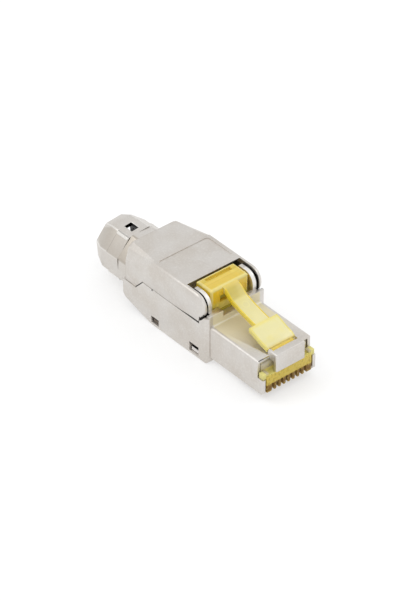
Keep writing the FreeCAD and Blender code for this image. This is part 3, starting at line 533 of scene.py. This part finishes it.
# The stops are shares of the lever's length, and the walls' stops are shares of the thumb block's height
lever = {
    "start": 3.0, "length": 20.0, "low": 8.5, "height": 5.0, "edge": 0.1, "narrow": 0.22,
    "haze": (900, 2.0, 0.5), "hazeRough": 0.1, "flow": (420, 3.0, 0.6), "flowLow": 0.45, "flowHigh": 0.75,
    "flowShare": 0.3, "roughness": 0.16, "ior": 1.5, "transmission": 0.28, "depthTint": (1.0, 0.88, 0.3, 1),
    "density": 60, "edgeHighlight": 0.5, "rim": colour(255, 248, 176),
    "armRear": 8.0, "armFront": 15.9, "armHalf": 1.38, "arm": 0.85, "armEdge": colour(255, 226, 40),
    "paddleRear": 15.8, "paddleHalf": 2.8, "paddle": 0.8, "paddleEdge": colour(255, 240, 128),
    "markAlong": 11.5, "markUp": 8.6, "markRadius": 0.6, "markHalf": 0.08, "mark": 0.5,
    "blockFront": 7.6, "wallFade": 12.75, "wallEnd": 13.1,
    "stops": [
        (0.025, colour(250, 226, 110)), (0.05, colour(240, 212, 88)), (0.09, colour(224, 198, 70)),
        (0.1, colour(246, 218, 94)), (0.13, colour(246, 218, 94)), (0.135, colour(232, 204, 82)),
        (0.142, colour(244, 214, 88)), (0.19, colour(242, 212, 84)), (0.205, colour(254, 236, 130)),
        (0.225, colour(248, 226, 120)), (0.27, colour(224, 206, 104)), (0.335, colour(226, 210, 118)),
        (0.36, colour(250, 238, 160)), (0.42, colour(244, 236, 174)), (0.62, colour(250, 242, 184)),
        (0.655, colour(255, 243, 150)), (0.68, colour(251, 245, 186)), (0.86, colour(253, 246, 190)),
        (0.885, colour(253, 222, 96)),
    ],
    "walls": [
        (0.0, colour(252, 236, 134)), (0.3, colour(250, 228, 96)), (0.45, colour(255, 212, 16)),
        (0.78, colour(255, 216, 34)), (0.92, colour(252, 224, 92)),
    ],
}


# Clear yellow moulding: deep gold in the hollow thumb block, paler along the arm and in the thin paddle,
# with painted light along their sides and a painted highlight on the narrow edges
def makeClearYellow():
    paint = Paint("clearYellow")
    haze = paint.noise(*lever["haze"])
    flow = paint.noise(*lever["flow"])
    along, across, up = paint.places()
    tint = paint.ramp((along - lever["start"]) / lever["length"], lever["stops"])
    arm = across.above(lever["armHalf"]) * along.between(lever["armRear"], lever["armFront"])
    tint = paint.mix(arm * lever["arm"], tint, lever["armEdge"])
    paddle = across.above(lever["paddleHalf"]) * along.above(lever["paddleRear"])
    tint = paint.mix(paddle * lever["paddle"], tint, lever["paddleEdge"])
    mark = paint.radius(along - lever["markAlong"], across)
    mark = mark.between(lever["markRadius"] - lever["markHalf"], lever["markRadius"] + lever["markHalf"])
    tint = paint.mix(mark * up.above(lever["markUp"]) * lever["mark"], tint, lever["rim"])
    walls = paint.ramp((up - lever["low"]) / lever["height"], lever["walls"])
    block = (1 - paint.step(up, lever["wallFade"], lever["wallEnd"])) * along.below(lever["blockFront"])
    tint = paint.mix(block, tint, walls)
    streak = paint.step(flow, lever["flowLow"], lever["flowHigh"])
    tint = paint.mix(streak * lever["flowShare"], tint, lever["paddleEdge"])
    depth = paint.node("ShaderNodeVolumeAbsorption", {
        "Color": lever["depthTint"], "Density": lever["density"]})
    return paint.principled({
        # Painted highlight on the narrow edge faces, in the rim colour
        "Base Color": paint.mix(paint.highlit() * lever["edgeHighlight"], tint, lever["rim"]),
        "Roughness": lever["roughness"] + haze * lever["hazeRough"], "IOR": lever["ior"],
        "Transmission Weight": lever["transmission"]}, depth)


softened("latch_lever", "latchLever", "latch", makeClearYellow(), lever["edge"],
         narrow=lever["narrow"])

# The stops are shares of the height above the plug's belly
carrier = {
    "height": 8.0, "edge": 0.04, "haze": (1400, 2.0, 0.5), "hazeRough": 0.12, "flow": (1900, 3.0, 0.65),
    "roughness": 0.3, "ior": 1.35, "transmission": 0.15, "lug": colour(246, 236, 150), "lugInside": 5.0,
    "deep": colour(120, 92, 22), "deepLow": 0.5, "deepHigh": 0.7, "deepShare": 0.45,
    "pale": colour(236, 216, 120), "paleLow": 0.34, "paleHigh": 0.46, "paleShare": 0.7,
    "stops": [
        (0.17, colour(200, 158, 44)), (0.24, colour(130, 92, 14)), (0.35, colour(142, 102, 18)),
        (0.38, colour(234, 206, 90)), (0.6, colour(240, 214, 104)), (0.625, colour(250, 238, 140)),
        (0.66, colour(218, 206, 166)), (0.8, colour(226, 218, 196)), (0.86, colour(150, 140, 118)),
    ],
}


# The contact carrier's clear plastic is painted brown between the blades, where no light comes from behind;
# its side lugs are painted pale, as lit, and the band above the shelf greyer, as a painted reflection of the
# metal
def makeCarrierYellow():
    paint = Paint("carrierYellow")
    haze = paint.noise(*carrier["haze"])
    flow = paint.noise(*carrier["flow"])
    tint = paint.ramp(paint.along(2) / carrier["height"], carrier["stops"])
    deep = paint.step(flow, carrier["deepLow"], carrier["deepHigh"])
    tint = paint.mix(deep * carrier["deepShare"], tint, carrier["deep"])
    pale = 1 - paint.step(flow, carrier["paleLow"], carrier["paleHigh"])
    tint = paint.mix(pale * carrier["paleShare"], tint, carrier["pale"])
    lug = abs(paint.along(1)).above(carrier["lugInside"])
    return paint.principled({
        "Base Color": paint.mix(lug, tint, carrier["lug"]),
        "Roughness": carrier["roughness"] + haze * carrier["hazeRough"], "IOR": carrier["ior"],
        "Transmission Weight": carrier["transmission"]})


softened("contact_insert", "contactInsert", "housing", makeCarrierYellow(), carrier["edge"])
print("clear plastic")

# A fine speckle that all the inner pieces share
speck = {"noise": (2500, 3.0, 0.6), "rough": 0.2, "bump": 0.3, "depth": 0.000006, "darker": 0.82}
tray = {
    "snap": colour(238, 234, 230), "rearSnap": colour(104, 92, 80), "tray": colour(24, 23, 22),
    "inside": 5.33, "snapTop": 1.46, "rearEnd": 0.0, "roughness": 0.5,
}


# The tray is painted dark, as in shade; only the outer faces of its snaps in the housing's windows are
# painted as catching the light, the rear ones less
def makeTrayPlastic():
    paint = Paint("trayPlastic")
    grain = paint.noise(*speck["noise"])
    along, across, up = paint.places()
    snap = paint.mix(along.above(tray["rearEnd"]), tray["rearSnap"], tray["snap"])
    face = across.above(tray["inside"]) * up.below(tray["snapTop"])
    return paint.principled({
        "Base Color": paint.mix(face, tray["tray"], snap),
        "Roughness": tray["roughness"] + grain.swing(speck["rough"]),
        "Normal": paint.bump(grain, speck["bump"], speck["depth"])})


dress("board_carrier", makeTrayPlastic())

# The board and the terminal block end below the clear lever; its yellow light is painted on them there,
# as an olive tint and a faint glow
belowLever = {
    "tint": colour(84, 74, 30), "speck": 0.25, "glow": colour(120, 106, 34), "roughness": 0.35,
    "pieces": {
        "circuit_board": {"paint": "boardLacquer", "base": colour(26, 84, 48), "start": 2.5},
        "terminal_block": {"paint": "darkPlastic", "base": colour(34, 33, 32), "start": 1.7},
    },
}


def makeBelowLever(name, base, start):
    paint = Paint(name)
    grain = paint.noise(*speck["noise"])
    front = paint.along(0).above(start)
    tint = paint.mix(front, base, belowLever["tint"])
    return paint.principled({
        "Base Color": paint.mix(grain * belowLever["speck"], tint, belowLever["tint"]),
        "Roughness": belowLever["roughness"] + grain.swing(speck["rough"]),
        "Emission Color": paint.mix(front, unlit, belowLever["glow"]), "Emission Strength": 1.0})


for node, look in belowLever["pieces"].items():
    dress(node, makeBelowLever(look["paint"], look["base"], look["start"]))

numbers = range(1, 9)
plain = {
    "goldPlating": {"base": colour(214, 170, 92), "roughness": 0.22, "metallic": 1.0,
                    "nodes": ["contact_%d" % number for number in numbers]},
    "tinnedBrass": {"base": colour(200, 192, 170), "roughness": 0.3, "metallic": 1.0,
                    "nodes": ["idc_terminal_%d" % number for number in numbers]},
    "springSteel": {"base": colour(182, 178, 172), "roughness": 0.3, "metallic": 1.0,
                    "nodes": ["shield_clip"]},
    "palePlastic": {"base": colour(196, 190, 176), "roughness": 0.5, "metallic": 0.0,
                    "nodes": ["wire_cap"]},
}


# One colour with a fine speckle in its tone and its roughness
def makePlain(name, base, roughness, metallic):
    paint = Paint(name)
    grain = paint.noise(*speck["noise"])
    darker = tuple(value * speck["darker"] for value in base)
    return paint.principled({
        "Base Color": paint.mix(grain, darker, base), "Metallic": metallic,
        "Roughness": roughness + grain.swing(speck["rough"]),
        "Normal": paint.bump(grain, speck["bump"], speck["depth"])})


for name, look in plain.items():
    paint = makePlain(name, look["base"], look["roughness"], look["metallic"])
    for node in look["nodes"]:
        dress(node, paint)
print("inner pieces")

# Metres and degrees, apart from the lens and the sensor in millimetres
shot = {
    "middle": Vector((0.0092, 0, 0.001)), "azimuth": 49.03, "elevation": 38.04, "distance": 0.6,
    "lens": 211.65, "sensor": 36, "left": 0.006147, "up": 0.007548, "nearest": 0.01, "farthest": 20,
}


def placeCamera():
    turn = math.radians(shot["azimuth"])
    rise = math.radians(shot["elevation"])
    right = Vector((math.cos(turn), math.sin(turn), 0))
    back = Vector((math.sin(turn) * math.cos(rise), -math.cos(turn) * math.cos(rise), math.sin(rise)))
    above = back.cross(right)
    data = bpy.data.cameras.new("camera")
    data.sensor_fit = "VERTICAL"
    data.sensor_height = shot["sensor"]
    data.lens = shot["lens"]
    data.clip_start = shot["nearest"]
    data.clip_end = shot["farthest"]
    camera = bpy.data.objects.new("camera", data)
    bpy.context.scene.collection.objects.link(camera)
    camera.location = shot["middle"] + back * shot["distance"]
    aim = shot["middle"] - right * shot["left"] + above * shot["up"]
    camera.rotation_euler = (aim - camera.location).to_track_quat("-Z", "Y").to_euler()
    bpy.context.scene.camera = camera


# Metres and watts
studio = {
    "floorSize": 2.4, "floorTint": (0.5, 0.5, 0.5, 1), "white": (1, 1, 1, 1), "glow": 0.51, "sky": 0.93,
    "seen": 1.0, "aim": Vector((0, 0, 0.005)),
    "lamps": {
        "key": {"place": (-0.25, -0.3, 0.5), "size": 0.3, "power": 0.6},
        "fill": {"place": (0.5, -0.25, 0.35), "size": 0.5, "power": 0.3},
        "rim": {"place": (0.15, 0.5, 0.4), "size": 0.3, "power": 0.4},
    },
}


# The floor glows where it is seen, mirrored or shows through clear plastic, and casts no light of its own
def makeFloor():
    paint = Paint("studioFloor")
    seen, mirrored, through = (paint.node("ShaderNodeLightPath", out="Is %s Ray" % kind)
                               for kind in ("Camera", "Glossy", "Transmission"))
    matt = paint.node("ShaderNodeBsdfDiffuse", {"Color": studio["floorTint"]})
    glow = paint.node("ShaderNodeEmission", {
        "Color": studio["white"], "Strength": (seen | mirrored | through) * studio["glow"]})
    bpy.ops.mesh.primitive_plane_add(size=studio["floorSize"], location=(0, 0, 0))
    floor = bpy.context.object
    floor.name = "studioFloor"
    floor.data.materials.append(paint.finish(paint.node("ShaderNodeAddShader", {0: matt, 1: glow})))


# The sky is white to the camera and a little darker as a light
def makeSky():
    world = bpy.data.worlds.new("studioSky")
    bpy.context.scene.world = world
    world.use_nodes = True
    tree = world.node_tree
    tree.nodes.clear()
    path = tree.nodes.new("ShaderNodeLightPath")
    level = tree.nodes.new("ShaderNodeMapRange")
    level.inputs["To Min"].default_value = studio["sky"]
    level.inputs["To Max"].default_value = studio["seen"]
    background = tree.nodes.new("ShaderNodeBackground")
    background.inputs["Color"].default_value = studio["white"]
    end = tree.nodes.new("ShaderNodeOutputWorld")
    tree.links.new(path.outputs["Is Camera Ray"], level.inputs["Value"])
    tree.links.new(level.outputs[0], background.inputs["Strength"])
    tree.links.new(background.outputs[0], end.inputs["Surface"])


def makeLamps():
    for name, lamp in studio["lamps"].items():
        data = bpy.data.lights.new(name, "AREA")
        data.size = lamp["size"]
        data.energy = lamp["power"]
        light = bpy.data.objects.new(name, data)
        bpy.context.scene.collection.objects.link(light)
        light.location = lamp["place"]
        light.rotation_euler = (studio["aim"] - light.location).to_track_quat("-Z", "Y").to_euler()


placeCamera()
makeFloor()
makeSky()
makeLamps()
bpy.context.scene.view_settings.view_transform = "Standard"
print("camera and studio")
